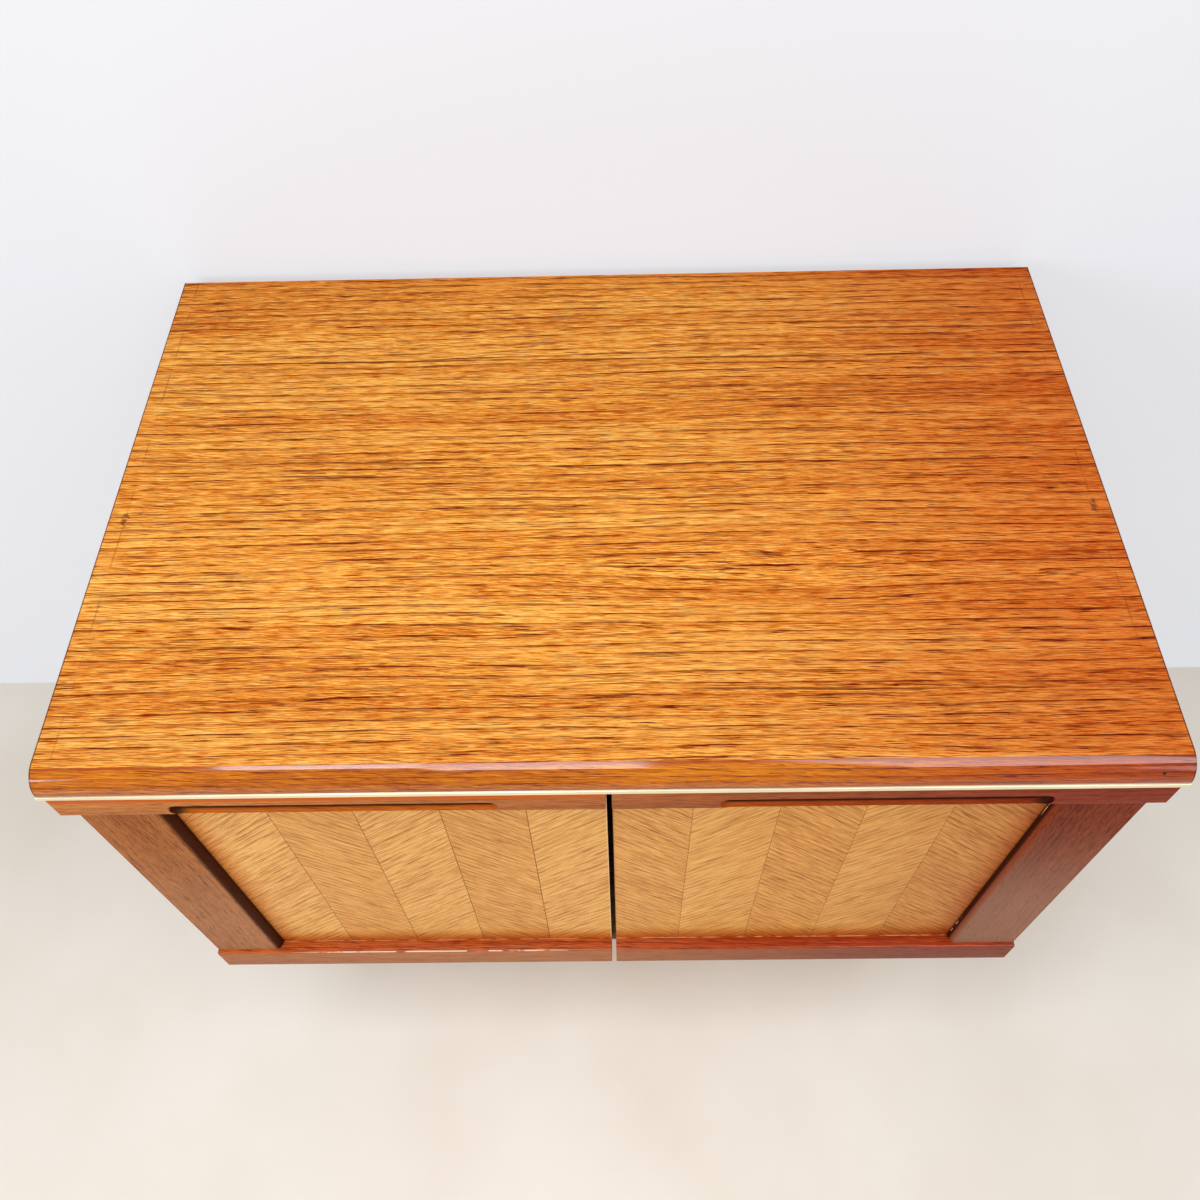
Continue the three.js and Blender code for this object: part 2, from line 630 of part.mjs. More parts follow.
function legStation(name, x, y) {
  const station = new THREE.Group();
  station.position.set(x, y, carcassBottomZ);
  const down = new THREE.Vector3(0, 0, -1);
  const along = new THREE.Vector3(Math.sign(x) * splayReach, Math.sign(y) * splayReach, -1).normalize();
  const tilted = new THREE.Group();
  tilted.quaternion.setFromUnitVectors(down, along);
  tilted.add(part(`leg_${name}`, looks.legWood, turnedLeg()));
  tilted.add(part(`ferrule_${name}`, looks.brass, ferrule(tilted.quaternion)));
  tilted.add(part(`leg_bolt_${name}`, looks.steel, hangerBolt()));
  station.add(part(`leg_plate_${name}`, looks.steel, legPlate(tilted.quaternion)));
  station.add(tilted);
  return station;
}

// The whole cabinet
const cabinet = new THREE.Group();
cabinet.add(carcass());
for (const [sideName, side] of Object.entries(sides)) {
  cabinet.add(doorLeaf(sideName, side));
  cabinet.add(magneticCatch(sideName, side));
  for (const [levelName, level] of Object.entries(hingeLevels)) {
    cabinet.add(buttHinge(`hinge_${sideName}_${levelName}`, side, level));
  }
  const legX = side * (sideOuterX - LEG_SIDE_INSET);
  cabinet.add(legStation(`front_${sideName}`, legX, carcassFrontY + LEG_FRONT_INSET));
  cabinet.add(legStation(`back_${sideName}`, legX, backY - LEG_BACK_INSET));
}

export default cabinet;
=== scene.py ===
import json
import math

import bmesh
import bpy
from mathutils import Matrix, Vector


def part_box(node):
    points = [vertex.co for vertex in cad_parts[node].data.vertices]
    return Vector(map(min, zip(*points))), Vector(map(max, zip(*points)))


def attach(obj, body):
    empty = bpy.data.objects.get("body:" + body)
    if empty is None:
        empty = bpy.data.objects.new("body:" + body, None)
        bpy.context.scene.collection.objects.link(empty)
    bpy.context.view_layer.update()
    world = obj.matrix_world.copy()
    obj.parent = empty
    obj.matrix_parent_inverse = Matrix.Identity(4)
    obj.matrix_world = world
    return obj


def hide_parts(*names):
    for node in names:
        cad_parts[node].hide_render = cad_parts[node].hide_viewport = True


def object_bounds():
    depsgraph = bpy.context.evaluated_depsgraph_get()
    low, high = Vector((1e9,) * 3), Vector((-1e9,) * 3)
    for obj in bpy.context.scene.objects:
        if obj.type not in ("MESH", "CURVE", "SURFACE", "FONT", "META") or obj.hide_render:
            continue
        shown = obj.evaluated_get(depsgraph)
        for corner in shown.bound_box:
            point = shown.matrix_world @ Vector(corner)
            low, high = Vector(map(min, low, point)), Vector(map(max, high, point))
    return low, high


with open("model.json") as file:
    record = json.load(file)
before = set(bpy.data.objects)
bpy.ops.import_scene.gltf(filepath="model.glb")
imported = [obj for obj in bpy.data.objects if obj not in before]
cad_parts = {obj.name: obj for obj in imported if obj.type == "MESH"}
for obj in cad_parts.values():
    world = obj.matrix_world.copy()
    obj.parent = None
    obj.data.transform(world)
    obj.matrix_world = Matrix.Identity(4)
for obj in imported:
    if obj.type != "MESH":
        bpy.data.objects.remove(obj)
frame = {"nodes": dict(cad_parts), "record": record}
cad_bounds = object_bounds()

MM = 0.001
SIDES = {"left": -1, "right": 1}
LEVELS = ("lower", "upper")
LEG_NAMES = ("front_left", "front_right", "back_left", "back_right")


# Camera at the photograph's viewing angle

CAMERA_PLACE = (0.0073, -0.5511, 1.3805)
CAMERA_LENS_MM = 32.61
CAMERA_SENSOR_MM = 36
CAMERA_YAW = math.radians(-1.55)
CAMERA_PITCH = math.radians(-55.55)
CAMERA_ROLL = math.radians(-2.11)


def make_camera():
    data = bpy.data.cameras.new("camera")
    data.sensor_width = CAMERA_SENSOR_MM
    data.lens = CAMERA_LENS_MM
    camera = bpy.data.objects.new("camera", data)
    turn = Matrix.Rotation(-CAMERA_YAW, 4, "Z")
    tilt = Matrix.Rotation(math.pi / 2 + CAMERA_PITCH, 4, "X")
    roll = Matrix.Rotation(CAMERA_ROLL, 4, "Z")
    camera.matrix_world = Matrix.Translation(CAMERA_PLACE) @ turn @ tilt @ roll
    bpy.context.scene.collection.objects.link(camera)
    bpy.context.scene.camera = camera


# Colours as they look on screen, 0 to 255

def tint(red, green, blue):
    """Linear colour of a screen colour."""
    def linear(value):
        share = value / 255
        return share / 12.92 if share <= 0.04045 else ((share + 0.055) / 1.055) ** 2.4
    return (linear(red), linear(green), linear(blue), 1)


class Graph:
    """A material's node tree, with short calls for the nodes that the materials share."""

    def __init__(self, name):
        self.material = bpy.data.materials.new(name)
        self.material.use_nodes = True
        self.tree = self.material.node_tree
        self.shader = self.tree.nodes["Principled BSDF"]
        self.coordinates = self.node("ShaderNodeTexCoord")

    def node(self, kind, **settings):
        made = self.tree.nodes.new(kind)
        for name, value in settings.items():
            setattr(made, name, value)
        return made

    def put(self, socket, value):
        if isinstance(value, bpy.types.NodeSocket):
            self.tree.links.new(value, socket)
        else:
            socket.default_value = value

    def calculate(self, operation, first, second=0.0, clamp=False):
        made = self.node("ShaderNodeMath", operation=operation, use_clamp=clamp)
        self.put(made.inputs[0], first)
        self.put(made.inputs[1], second)
        return made.outputs[0]

    def total(self, first, *others):
        for other in others:
            first = self.calculate("ADD", first, other)
        return first

    def product(self, first, *others):
        for other in others:
            first = self.calculate("MULTIPLY", first, other)
        return first

    def rest(self, share):
        return self.calculate("SUBTRACT", 1.0, share)

    def distance(self, first, second):
        return self.calculate("ABSOLUTE", self.calculate("SUBTRACT", first, second))

    def vector(self, operation, first, second):
        made = self.node("ShaderNodeVectorMath", operation=operation)
        self.put(made.inputs[0], first)
        self.put(made.inputs[1], second)
        return made.outputs[0]

    def noise(self, vector, scales=(1, 1, 1), detail=2.0, roughness=0.5, distortion=0.0):
        made = self.node("ShaderNodeTexNoise")
        self.put(made.inputs["Vector"], self.vector("MULTIPLY", vector, scales))
        self.put(made.inputs["Scale"], 1.0)
        self.put(made.inputs["Detail"], detail)
        self.put(made.inputs["Roughness"], roughness)
        self.put(made.inputs["Distortion"], distortion)
        return made.outputs["Fac"]

    def fade(self, value, low, high):
        """0 below low, 1 above high, and smooth between them."""
        made = self.node("ShaderNodeMapRange", interpolation_type="SMOOTHSTEP")
        self.put(made.inputs["Value"], value)
        self.put(made.inputs["From Min"], low)
        self.put(made.inputs["From Max"], high)
        return made.outputs["Result"]

    def ramp(self, value, stops):
        made = self.node("ShaderNodeValToRGB")
        elements = made.color_ramp.elements
        while len(elements) < len(stops):
            elements.new(0.5)
        for element, (place, colour) in zip(elements, stops):
            element.position = place
            element.color = colour
        self.put(made.inputs[0], value)
        return made.outputs[0]

    def mix(self, share, first, second, blend="MIX"):
        made = self.node("ShaderNodeMix", data_type="RGBA", blend_type=blend)
        self.put(made.inputs["Factor"], share)
        self.put(made.inputs["A"], first)
        self.put(made.inputs["B"], second)
        return made.outputs["Result"]

    def bump(self, height, depth):
        made = self.node("ShaderNodeBump")
        self.put(made.inputs["Height"], height)
        self.put(made.inputs["Distance"], depth)
        self.put(self.shader.inputs["Normal"], made.outputs["Normal"])

    def finish(self, colour, roughness, **constants):
        self.put(self.shader.inputs["Base Color"], colour)
        self.put(self.shader.inputs["Roughness"], roughness)
        for name, value in constants.items():
            self.shader.inputs[name.replace("_", " ")].default_value = value
        return self.material


# Wood: bands of growth, dark streaks and open pores, all drawn out along the grain

GRAIN_FIRST = {"X": (0, 1, 2), "Y": (1, 2, 0), "Z": (2, 0, 1)}


def grain_coordinates(graph, grain, seed):
    """Place in metres with the grain along the first axis, moved by the seed."""
    if grain == "UV":
        place = graph.coordinates.outputs["UV"]
        axes = GRAIN_FIRST["X"]
    else:
        place = graph.coordinates.outputs["Object"]
        axes = GRAIN_FIRST[grain]
    split = graph.node("ShaderNodeSeparateXYZ")
    graph.put(split.inputs[0], place)
    joined = graph.node("ShaderNodeCombineXYZ")
    for slot, axis in enumerate(axes):
        graph.put(joined.inputs[slot], split.outputs[axis])
    return graph.vector("ADD", joined.outputs[0], (seed * 1.37, seed * 0.71, seed * 0.43))


def peak(graph, centre, reach):
    """1 at the centre of an oval on the top's plane, 0 beyond it."""
    squares = []
    for axis in (0, 1):
        off = graph.calculate("SUBTRACT", place_axis(graph, axis), centre[axis])
        squares.append(graph.calculate("POWER", graph.calculate("DIVIDE", off, reach[axis]), 2.0))
    return graph.fade(graph.calculate("SQRT", graph.total(*squares)), 1.0, 0.0)


# Oval where the top's growth lines open: its centre, its reach, and how far the lines spread
SPINDLE = ((0.11, -0.075), (0.24, 0.06))
SPINDLE_SPREAD = 0.35


def opened(graph, rings, centre, reach):
    """Shift, in growth lines, that spreads the lines apart in an oval on the top's plane."""
    off = graph.calculate("SUBTRACT", place_axis(graph, 1), centre[1])
    return graph.product(off, -SPINDLE_SPREAD * rings, peak(graph, centre, reach))


FIBRE_SHIFTS = (13, 11)


def scatter(graph, split):
    """Shift along the grain that differs from fibre to fibre, so that no fibres end in line."""
    first = graph.product(split.outputs[1], FIBRE_SHIFTS[0])
    second = graph.product(split.outputs[2], FIBRE_SHIFTS[1])
    shift = graph.node("ShaderNodeCombineXYZ")
    graph.put(shift.inputs[0], graph.total(first, second))
    return shift.outputs[0]


def wavy(graph, straight, rings, sway, shiver, spindle):
    """The place with its growth lines bent. The swing is told in growth lines."""
    wide = graph.noise(straight, (1.8, 9, 9), detail=1)
    near = graph.noise(straight, (4, 40, 40), detail=2)
    quick = graph.noise(straight, (70, 260, 260), detail=2)
    swing = graph.product(graph.total(wide, graph.product(near, 0.5)), sway)
    swing = graph.total(swing, graph.product(quick, shiver))
    if spindle:
        swing = graph.total(swing, opened(graph, rings, *spindle))
    bend = graph.node("ShaderNodeCombineXYZ")
    graph.put(bend.inputs[1], graph.calculate("DIVIDE", swing, rings))
    return graph.vector("ADD", straight, bend.outputs[0])


def wood(name, grain, tones, pores, seed, *, rings=120, ring_share=0.8, sway=2.6, shiver=0.12, fibre=1.0,
         streak=1.0, fibre_spread=0.13, band_share=0.3, pore_share=0.7, pore_limit=0.65, glint_share=0.6,
         relief=0.05 * MM, roughness=0.38, specular=0.15, coat=0.0, coat_roughness=0.1, coat_ior=1.5,
         spindle=None, shift=None):
    """tones are the light, middle and dark colours; pores is the colour of open grain and growth lines.
    A large fibre makes the grain fine, and a large streak draws it out."""
    graph = Graph(name)
    fine = fibre / streak
    light, middle, dark = tones
    place = wavy(graph, grain_coordinates(graph, grain, seed), rings, sway, shiver, spindle)
    across = graph.node("ShaderNodeSeparateXYZ")
    graph.put(across.inputs[0], place)
    growth = graph.total(across.outputs[1], graph.product(across.outputs[2], 0.9))
    breaks = graph.noise(place, (14, 170, 170), detail=3, roughness=0.6)
    scattered = graph.vector("ADD", place, scatter(graph, across))

    def growth_line(pitch, first, last, gap):
        """Share of dark lines that come up slowly on one side and end sharply on the other."""
        saw = graph.calculate("FRACT", graph.product(growth, pitch))
        whole = graph.fade(breaks, gap, gap + 0.14)
        return graph.product(graph.fade(saw, first, last), whole)

    line = growth_line(rings, 0.86, 0.94, 0.45)
    soft_line = growth_line(rings, 0.3, 0.95, 0.34)
    fine_line = growth_line(rings * 2.7, 0.6, 0.95, 0.47)
    fibres = graph.noise(scattered, (150 * fine, 1000 * fibre, 1000 * fibre), detail=3, roughness=0.7)
    bands = graph.noise(place, (1.6, 42, 42), detail=3, roughness=0.55)
    blend = graph.total(graph.product(bands, band_share), graph.product(fibres, 1 - band_share))
    low, high = 0.5 - fibre_spread, 0.5 + fibre_spread
    colour = graph.ramp(blend, [(low, dark), (0.5, middle), (high, light)])
    colour = graph.mix(graph.product(soft_line, 0.4 * ring_share), colour, dark)
    colour = graph.mix(graph.product(fine_line, 0.45 * ring_share), colour, dark)
    glints = graph.noise(scattered, (120 * fine, 1200 * fibre, 1200 * fibre), detail=1)
    colour = graph.mix(graph.product(graph.fade(glints, 0.58, 0.7), glint_share), colour, light)

    dashes = graph.noise(scattered, (90 * fine, 1300 * fibre, 1300 * fibre), detail=1)
    crowded = graph.total(dashes, graph.product(soft_line, 0.08))
    pore = graph.fade(crowded, pore_limit, pore_limit + 0.06)
    colour = graph.mix(graph.product(pore, pore_share), colour, pores)
    colour = graph.mix(graph.product(line, ring_share), colour, pores)
    if shift:
        colour = shift(graph, colour)
    depth = graph.calculate("MAXIMUM", line, pore)
    graph.bump(graph.rest(depth), relief)
    gloss = graph.total(graph.product(depth, 0.2), roughness)
    return graph.finish(colour, gloss, Specular_IOR_Level=specular, Coat_Weight=coat,
                        Coat_Roughness=coat_roughness, Coat_IOR=coat_ior)


def place_axis(graph, axis):
    split = graph.node("ShaderNodeSeparateXYZ")
    graph.put(split.inputs[0], graph.coordinates.outputs["Object"])
    return split.outputs[axis]


# Where each of these marks of the top begins and ends, along X and along Y
TOP_EDGE_LINE = (0.3811, 0.3817)
BACK_DARKENING = (0.222, 0.248)


def top_tone_and_shade(graph, colour):
    """The top is more golden on its left and redder on its right, partly as painted shade of light from the
    left, with dark lines along its ends.
    """
    across = place_axis(graph, 0)
    # Redder and darker to the right: partly the wood's tone, partly painted shade of light from the left.
    share = graph.product(graph.fade(across, 0.0, 0.4), 0.85)
    colour = graph.mix(share, colour, tint(224, 166, 150), blend="MULTIPLY")
    front = graph.fade(place_axis(graph, 1), -0.08, -0.22)
    colour = graph.mix(front, colour, tint(242, 237, 238), blend="MULTIPLY")
    edge = graph.fade(graph.calculate("ABSOLUTE", across), *TOP_EDGE_LINE)
    return graph.mix(graph.product(edge, 0.85), colour, tint(84, 34, 14))


# The top's longest dark growth lines: start and end along X, Y at the start and the end, and their share
TOP_LINES = (
    (-0.38, 0.38, 0.1425, 0.1405, 0.8),
    (-0.38, -0.04, 0.034, 0.0215, 0.55),
    (-0.06, 0.3, 0.0215, 0.023, 0.8),
    (-0.16, 0.16, 0.106, 0.1055, 0.5),
    (-0.38, -0.26, 0.0725, 0.0715, 0.75),
    (-0.38, -0.26, 0.1105, 0.102, 0.6),
    (0.0, 0.22, 0.0565, 0.058, 0.5),
    (0.08, 0.38, 0.0935, 0.0945, 0.5),
    (-0.3, -0.17, 0.0145, 0.0135, 0.8),
    (-0.2, 0.1, -0.0115, -0.013, 0.5),
    (-0.3, 0.0, -0.0205, -0.022, 0.45),
    (-0.38, -0.27, -0.0985, -0.0955, 0.7),
    (-0.38, -0.24, -0.1425, -0.144, 0.7),
    (0.05, 0.3, -0.1815, -0.1845, 0.75),
    (0.16, 0.38, 0.176, 0.172, 0.5),
    (-0.12, 0.38, 0.1345, 0.134, 0.4),
)
EDGE_JOINT = 369.5 * MM
SCUFF_CENTRE_Y = -27 * MM
SCUFF_REACH = 9 * MM


def long_line(graph, colour, wobble, whole, line):
    """One dark line along the grain of the top, soft on both sides and broken in places."""
    start, end, start_y, end_y, share = line
    across = place_axis(graph, 0)
    run = graph.calculate("DIVIDE", graph.calculate("SUBTRACT", across, start), end - start)
    level = graph.total(graph.product(run, end_y - start_y), start_y, wobble)
    off = graph.distance(place_axis(graph, 1), level)
    near = graph.fade(off, 1.2 * MM, 0.4 * MM)
    begun = graph.fade(across, start - 10 * MM, start + 25 * MM)
    open_still = graph.fade(across, end + 10 * MM, end - 25 * MM)
    shown = graph.product(near, begun, open_still, whole, share)
    return graph.mix(shown, colour, tint(80, 22, 3))


def board_wear_and_shade(graph, colour):
    """The top's board also has long dark lines, a scuffed joint near each end and a darker back edge."""
    place = graph.coordinates.outputs["Object"]
    colour = top_tone_and_shade(graph, colour)
    back = graph.fade(place_axis(graph, 1), *BACK_DARKENING)
    colour = graph.mix(back, colour, tint(238, 212, 190), blend="MULTIPLY")
    wander = graph.calculate("SUBTRACT", graph.noise(place, (7, 2, 2), detail=1), 0.5)
    wobble = graph.product(wander, 5 * MM)
    whole = graph.fade(graph.noise(place, (22, 90, 90), detail=2), 0.34, 0.52)
    for line in TOP_LINES:
        colour = long_line(graph, colour, wobble, whole, line)
    side = graph.calculate("ABSOLUTE", place_axis(graph, 0))
    off_joint = graph.distance(side, EDGE_JOINT)
    joint = graph.fade(off_joint, 0.9 * MM, 0.3 * MM)
    breaks = graph.noise(place, (30, 30, 30), detail=2)
    shown = graph.product(joint, graph.fade(breaks, 0.42, 0.62), 0.45)
    colour = graph.mix(shown, colour, tint(120, 52, 14))
    along = graph.distance(place_axis(graph, 1), SCUFF_CENTRE_Y)
    near_joint = graph.fade(off_joint, 4 * MM, 1 * MM)
    patchiness = graph.fade(graph.noise(place, (300, 300, 300), detail=2), 0.44, 0.56)
    scuff = graph.product(graph.fade(along, SCUFF_REACH, 0.5 * SCUFF_REACH), near_joint)
    return graph.mix(graph.product(scuff, patchiness, 0.8), colour, tint(110, 50, 26))


def beside(graph, line, reach):
    """Share that rises to 1 at the line, told as a distance from the cabinet's middle."""
    distance = graph.calculate("ABSOLUTE", place_axis(graph, 0))
    return graph.fade(distance, line - reach, line)


def lipping_tone_and_shade(graph, colour):
    """As the top, with a red brown line where the veneer is cut through, a browner foot, and darker towards
    the right, partly as painted shade.
    """
    height = place_axis(graph, 2)
    below = graph.fade(height, TOP_HEIGHT - 1.5 * MM, TOP_HEIGHT - 0.9 * MM)
    colour = graph.mix(graph.product(below, 0.6), colour, tint(150, 48, 8))
    foot = graph.fade(height, TOP_HEIGHT - 13 * MM, TOP_HEIGHT - 17 * MM)
    colour = graph.mix(graph.product(foot, 0.6), colour, tint(140, 60, 14))
    # Darker to the right: partly the wood's tone, partly painted shade of light from the left.
    far = graph.fade(place_axis(graph, 0), 0.05, 0.3)
    colour = graph.mix(far, colour, tint(228, 198, 170), blend="MULTIPLY")
    return top_tone_and_shade(graph, colour)


# Middle, along X, of the painted highlight on the left ledge's front edge
LEDGE_HIGHLIGHT_MIDDLE_X = -0.17


def ledge_light_and_lines(graph, colour):
    """Both ledges have broken pale lines along the panel and darken to the right, partly as painted shade,
    and the left one has a broken white painted highlight along its front edge.
    """
    behind = graph.fade(place_axis(graph, 1), PANEL_FACE_Y - 1.3 * MM, PANEL_FACE_Y - 0.6 * MM)
    breaks = graph.noise(graph.coordinates.outputs["Object"], (70, 70, 70), detail=2)
    # Darker to the right: partly the wood's tone, partly painted shade of light from the left.
    far = graph.fade(place_axis(graph, 0), -0.1, 0.15)
    colour = graph.mix(far, colour, tint(230, 184, 146), blend="MULTIPLY")
    # Painted highlight: a broken white line along the left ledge's front edge.
    front = graph.fade(place_axis(graph, 1), LEDGE_FRONT_Y + 1.3 * MM, LEDGE_FRONT_Y + 0.8 * MM)
    patchiness = graph.noise(graph.coordinates.outputs["Object"], (60, 60, 60), detail=3)
    middle = graph.fade(graph.distance(place_axis(graph, 0), LEDGE_HIGHLIGHT_MIDDLE_X), 0.15, 0.08)
    arris_band = graph.product(front, graph.fade(patchiness, 0.4, 0.52), middle, 0.75)
    colour = graph.mix(arris_band, colour, tint(246, 224, 200))
    pale = graph.product(behind, graph.fade(breaks, 0.42, 0.58), 0.75)
    return graph.mix(pale, colour, tint(226, 160, 100))


def panel_shade_and_light(graph, colour):
    """Panels are browner along their foot and stiles, painted shade in the recess with orange light off the
    ledge, and darker towards the right, painted shade of light from the left. The left one's meeting edge is
    pale, a painted highlight, and the right one's red brown."""
    # Painted shade along the foot and beside the stiles, with orange light thrown up from the ledge at the
    # foot.
    foot = graph.fade(place_axis(graph, 2), PANEL_FOOT + 34 * MM, PANEL_FOOT + 2 * MM)
    colour = graph.mix(foot, colour, tint(222, 170, 118), blend="MULTIPLY")
    colour = graph.mix(beside(graph, STILE_EDGE, 26 * MM), colour, tint(232, 192, 140), blend="MULTIPLY")
    # Painted shade: darker towards the right, as if lit from the left.
    right = graph.fade(place_axis(graph, 0), 0.02, 0.12)
    colour = graph.mix(right, colour, tint(248, 241, 226), blend="MULTIPLY")
    far = graph.fade(place_axis(graph, 0), 0.16, 0.36)
    colour = graph.mix(far, colour, tint(224, 204, 196), blend="MULTIPLY")
    joint = beside(graph, STILE_EDGE - 0.2 * MM, 1.2 * MM)
    colour = graph.mix(graph.product(joint, 0.85), colour, tint(64, 26, 12))
    # Meeting edge band: a pale painted highlight on the left door, red brown on the right door.
    arris_band = graph.rest(beside(graph, MEETING_EDGE + 0.9 * MM, 0.5 * MM))
    left = graph.fade(place_axis(graph, 0), 1 * MM, -1 * MM)
    edge = graph.mix(left, tint(150, 82, 46), tint(246, 216, 176))
    return graph.mix(graph.product(arris_band, 0.6), colour, edge)


def frame_tone_and_shade(graph, colour):
    """Rails and stiles are darker and redder towards the right, partly their own tone and partly painted
    shade.
    """
    far = graph.fade(place_axis(graph, 0), -0.1, 0.34)
    return graph.mix(far, colour, tint(198, 152, 178), blend="MULTIPLY")


def rail_shade_and_light(graph, colour):
    """The top rails darken to the right, partly as painted shade, and have a pale painted highlight along
    their lower edge outside the coves. The left one has an orange band of painted light along its upper
    edge."""
    # Darker to the right: partly the wood's tone, partly painted shade of light from the left.
    far = graph.fade(place_axis(graph, 0), -0.3, 0.34)
    colour = graph.mix(far, colour, tint(182, 118, 138), blend="MULTIPLY")
    # Painted light: an orange band on the left rail's upper front stands in for the lit top face of that
    # door.
    upper = graph.fade(place_axis(graph, 2), RAIL_HEIGHT - 8.8 * MM, RAIL_HEIGHT - 7.8 * MM)
    left = graph.fade(place_axis(graph, 0), 0, -2 * MM)
    front = graph.fade(place_axis(graph, 1), COVE_FRONT_Y + 1.6 * MM, COVE_FRONT_Y + 0.6 * MM)
    colour = graph.mix(graph.product(upper, left, front, 0.85), colour, tint(200, 90, 14))
    # Painted highlight: a pale line along the lower arris, outside the coves.
    lower = graph.fade(place_axis(graph, 2), RAIL_FOOT + 1.9 * MM, RAIL_FOOT + 0.9 * MM)
    outer = beside(graph, COVE_OUTER_END + 6 * MM, 6 * MM)
    return graph.mix(graph.product(lower, outer, 0.4), colour, tint(206, 148, 116))


def pale_foot(graph, colour):
    """The stiles turn paler and greyer towards their foot, most of all the right one."""
    low = graph.fade(place_axis(graph, 2), 0.66, 0.42)
    far = graph.fade(place_axis(graph, 0), -0.2, 0.2)
    share = graph.total(graph.product(far, 0.12), 0.16)
    return graph.mix(graph.product(low, share), colour, tint(206, 176, 148))


def left_stile_shade(graph, colour):
    """The left stile's inner rounding is painted nearly black, as shade on the side turned from the light.
    """
    rounding_shade = graph.rest(beside(graph, STILE_EDGE + 7 * MM, 4 * MM))
    aged = pale_foot(graph, frame_tone_and_shade(graph, colour))
    return graph.mix(graph.product(rounding_shade, 0.94), aged, tint(54, 14, 2))


def right_stile_shade_and_highlights(graph, colour):
    """The right stile's inner rounding is painted red brown as shade, with a dark foot broken by pale
    painted highlights.
    """
    aged = pale_foot(graph, frame_tone_and_shade(graph, colour))
    # Painted shade on the inner rounding.
    rounding_shade = graph.rest(beside(graph, STILE_EDGE + 6.5 * MM, 6 * MM))
    colour = graph.mix(graph.product(rounding_shade, 0.8), aged, tint(132, 56, 24))
    foot = graph.rest(beside(graph, STILE_EDGE + 1.2 * MM, 1.0 * MM))
    colour = graph.mix(graph.product(foot, 0.9), colour, tint(44, 14, 8))
    # Painted highlights: broken pale glints on the joint's arris, near the stile's ends and its inner side.
    breaks = graph.noise(graph.coordinates.outputs["Object"], (50, 50, 90), detail=2)
    wall = graph.fade(place_axis(graph, 1), PANEL_FACE_Y - 1.7 * MM, PANEL_FACE_Y - 1.3 * MM)
    lower = graph.fade(place_axis(graph, 1), PANEL_FACE_Y - 0.6 * MM, PANEL_FACE_Y - 0.9 * MM)
    glint = graph.product(wall, lower, graph.fade(breaks, 0.47, 0.54))
    level = place_axis(graph, 2)
    ends = graph.calculate("MAXIMUM", graph.fade(level, 0.62, 0.64), graph.fade(level, 0.4, 0.38))
    inner = graph.rest(beside(graph, STILE_EDGE + 12 * MM, 4 * MM))
    return graph.mix(graph.product(glint, ends, inner), colour, tint(244, 196, 140))


def shade_cove(graph, colour):
    """Painted shade: the finger coves are dark along the back of the groove and at their outer ends, and
    darker on the right door.
    """
    deep = graph.fade(place_axis(graph, 1), COVE_FRONT_Y + 3.5 * MM, COVE_FRONT_Y + 4.8 * MM)
    ends = beside(graph, COVE_OUTER_END - 4 * MM, 12 * MM)
    dark = graph.calculate("MAXIMUM", deep, ends)
    colour = frame_tone_and_shade(graph, colour)
    right = graph.fade(place_axis(graph, 0), -5 * MM, 5 * MM)
    colour = graph.mix(right, colour, tint(240, 222, 240), blend="MULTIPLY")
    return graph.mix(graph.product(dark, 0.9), colour, tint(30, 10, 5))


